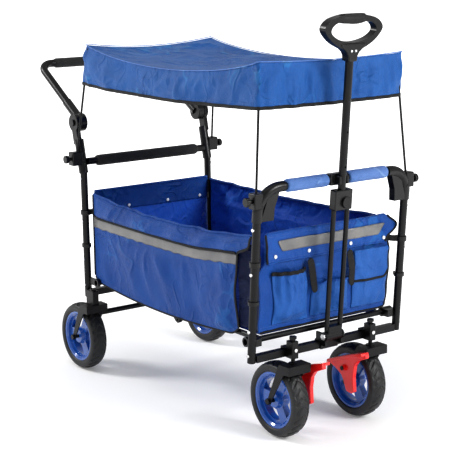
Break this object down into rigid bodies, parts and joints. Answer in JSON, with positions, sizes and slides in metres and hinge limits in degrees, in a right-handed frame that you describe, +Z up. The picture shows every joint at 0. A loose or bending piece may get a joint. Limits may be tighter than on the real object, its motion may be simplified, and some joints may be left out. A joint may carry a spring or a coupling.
{
  "type": "folding pull wagon",
  "caption": "Folding fabric pull wagon: tube frame with centre-folding base, swivel casters with brakes, telescoping pull handle, ratchet push handle and canopy.",
  "frame": {"origin": "on the floor, under the centre of the overall box", "axes": "+X forward, towards the pull handle; +Y to the wagon's left; +Z up"},
  "size_m": [1.1675, 0.5386, 1.0291],
  "materials": {
    "frame": "satin powder coat",
    "plastic": "fine moulded texture",
    "rim": "glossy moulded",
    "tyre": "moulded tread",
    "brake": "semi-gloss moulded",
    "fabric": "woven polyester",
    "foam_cover": "fabric sleeve over foam",
    "foam": "closed-cell foam",
    "board": "fabric-covered board",
    "bolt": "zinc plated"
  },
  "bodies": {
    "rear_frame": {"rear_post_left": "frame", "rear_post_right": "frame", "rear_lower_tube": "frame", "rear_axle_bar": "frame", "rear_rail": "frame", "rear_rail_foam": "foam", "rear_wheel_forks": "frame", "ratchet_sleeves": "plastic", "rear_brackets": "plastic", "canopy_clamps_rear": "plastic", "canopy_rods_rear": "frame", "basket_rear_panel": "fabric", "rear_fasteners": "bolt", "canopy_cover": "fabric", "basket_sides": "fabric"},
    "push_handle": {"push_bar": "frame", "push_grip": "foam", "push_arm_sleeves": "plastic"},
    "base_rear": {"base_rear_rails": "frame", "base_rear_cross_tubes": "frame", "floor_board_rear": "board"},
    "base_front": {"base_front_rails": "frame", "base_front_cross_tubes": "frame", "floor_board_front": "board"},
    "front_frame": {"front_post_left": "frame", "front_post_right": "frame", "front_lower_tube": "frame", "front_rail": "frame", "front_rail_foam": "foam_cover", "front_elbows": "plastic", "pole_clip": "plastic", "stem_housings": "frame", "handle_bracket": "frame", "canopy_clamps_front": "plastic", "canopy_rods_front": "frame", "front_brackets": "plastic", "basket_front_panel": "fabric", "front_fasteners": "bolt"},
    "pull_handle": {"pull_tubes": "frame", "pull_lock_block": "plastic"},
    "pull_pole": {"pull_pole": "frame", "d_grip": "plastic"},
    "rear_wheel_left": {"rear_rim_left": "rim", "rear_tyre_left": "tyre"},
    "caster_left": {"caster_fork_left": "frame"},
    "front_wheel_left": {"front_rim_left": "rim", "front_tyre_left": "tyre"},
    "brake_left": {"brake_lever_left": "brake"},
    "ratchet_button_left": {"ratchet_button_left": "plastic"},
    "canopy_knob_front_left": {"canopy_knob_front_left": "plastic"},
    "canopy_knob_rear_left": {"canopy_knob_rear_left": "plastic"},
    "rear_wheel_right": {"rear_rim_right": "rim", "rear_tyre_right": "tyre"},
    "caster_right": {"caster_fork_right": "frame"},
    "front_wheel_right": {"front_rim_right": "rim", "front_tyre_right": "tyre"},
    "brake_right": {"brake_lever_right": "brake"},
    "ratchet_button_right": {"ratchet_button_right": "plastic"},
    "canopy_knob_front_right": {"canopy_knob_front_right": "plastic"},
    "canopy_knob_rear_right": {"canopy_knob_rear_right": "plastic"}
  },
  "joints": [
    {"name": "base_fold", "type": "hinge", "parent": "rear_frame", "child": "base_rear", "pos_m": [-0.2587, 0, 0.2605], "axis": [0, -1, 0], "range_deg": [0, 85], "deforming": ["basket_sides", "canopy_cover"]},
    {"name": "base_centre_hinge", "type": "hinge", "parent": "base_rear", "child": "base_front", "pos_m": [0.1023, 0, 0.2285], "axis": [0, -1, 0], "range_deg": [-170, 0]},
    {"name": "front_frame_hinge", "type": "hinge", "parent": "base_front", "child": "front_frame", "pos_m": [0.4633, 0, 0.2605], "axis": [0, -1, 0], "range_deg": [0, 85]},
    {"name": "push_handle_hinge", "type": "hinge", "parent": "rear_frame", "child": "push_handle", "pos_m": [-0.3387, 0, 0.7065], "axis": [0, 1, 0], "range_deg": [-95, 35]},
    {"name": "pull_handle_hinge", "type": "hinge", "parent": "front_frame", "child": "pull_handle", "pos_m": [0.5103, 0, 0.2465], "axis": [0, 1, 0], "range_deg": [0, 95]},
    {"name": "pull_pole_slide", "type": "slide", "parent": "pull_handle", "child": "pull_pole", "axis": [0.0797, 0, 0.9968], "range_m": [-0.24, 0]},
    {"name": "rear_wheel_spin_left", "type": "hinge", "parent": "rear_frame", "child": "rear_wheel_left", "pos_m": [-0.3277, 0.217, 0.095], "axis": [0, 1, 0], "continuous": true},
    {"name": "caster_swivel_left", "type": "hinge", "parent": "front_frame", "child": "caster_left", "pos_m": [0.5093, 0.125, 0.2125], "axis": [0, 0, 1], "continuous": true},
    {"name": "front_wheel_spin_left", "type": "hinge", "parent": "caster_left", "child": "front_wheel_left", "pos_m": [0.4563, 0.125, 0.095], "axis": [0, 1, 0], "continuous": true},
    {"name": "brake_press_left", "type": "hinge", "parent": "caster_left", "child": "brake_left", "pos_m": [0.4803, 0.073, 0.143], "axis": [0, 1, 0], "range_deg": [0, 10]},
    {"name": "ratchet_button_press_left", "type": "slide", "parent": "rear_frame", "child": "ratchet_button_left", "axis": [0, -1, 0], "range_m": [0, 0.003], "stiffness_N_per_m": 400, "springref_m": -0.002},
    {"name": "canopy_knob_turn_front_left", "type": "hinge", "parent": "front_frame", "child": "canopy_knob_front_left", "pos_m": [0.5143, 0.2513, 0.6095], "axis": [0, 1, 0], "continuous": true},
    {"name": "canopy_knob_turn_rear_left", "type": "hinge", "parent": "rear_frame", "child": "canopy_knob_rear_left", "pos_m": [-0.3157, 0.2483, 0.6095], "axis": [0, 1, 0], "continuous": true},
    {"name": "rear_wheel_spin_right", "type": "hinge", "parent": "rear_frame", "child": "rear_wheel_right", "pos_m": [-0.3277, -0.217, 0.095], "axis": [0, 1, 0], "continuous": true},
    {"name": "caster_swivel_right", "type": "hinge", "parent": "front_frame", "child": "caster_right", "pos_m": [0.5093, -0.125, 0.2125], "axis": [0, 0, 1], "continuous": true},
    {"name": "front_wheel_spin_right", "type": "hinge", "parent": "caster_right", "child": "front_wheel_right", "pos_m": [0.4563, -0.125, 0.095], "axis": [0, 1, 0], "continuous": true},
    {"name": "brake_press_right", "type": "hinge", "parent": "caster_right", "child": "brake_right", "pos_m": [0.4803, -0.073, 0.143], "axis": [0, 1, 0], "range_deg": [0, 10]},
    {"name": "ratchet_button_press_right", "type": "slide", "parent": "rear_frame", "child": "ratchet_button_right", "axis": [0, 1, 0], "range_m": [0, 0.003], "stiffness_N_per_m": 400, "springref_m": -0.002},
    {"name": "canopy_knob_turn_front_right", "type": "hinge", "parent": "front_frame", "child": "canopy_knob_front_right", "pos_m": [0.5143, -0.2513, 0.6095], "axis": [0, -1, 0], "continuous": true},
    {"name": "canopy_knob_turn_rear_right", "type": "hinge", "parent": "rear_frame", "child": "canopy_knob_rear_right", "pos_m": [-0.3157, -0.2483, 0.6095], "axis": [0, -1, 0], "continuous": true}
  ],
  "couplings": [
    {"joint": "base_centre_hinge", "follows": "base_fold", "ratio": -2},
    {"joint": "front_frame_hinge", "follows": "base_fold", "ratio": 1}
  ]
}
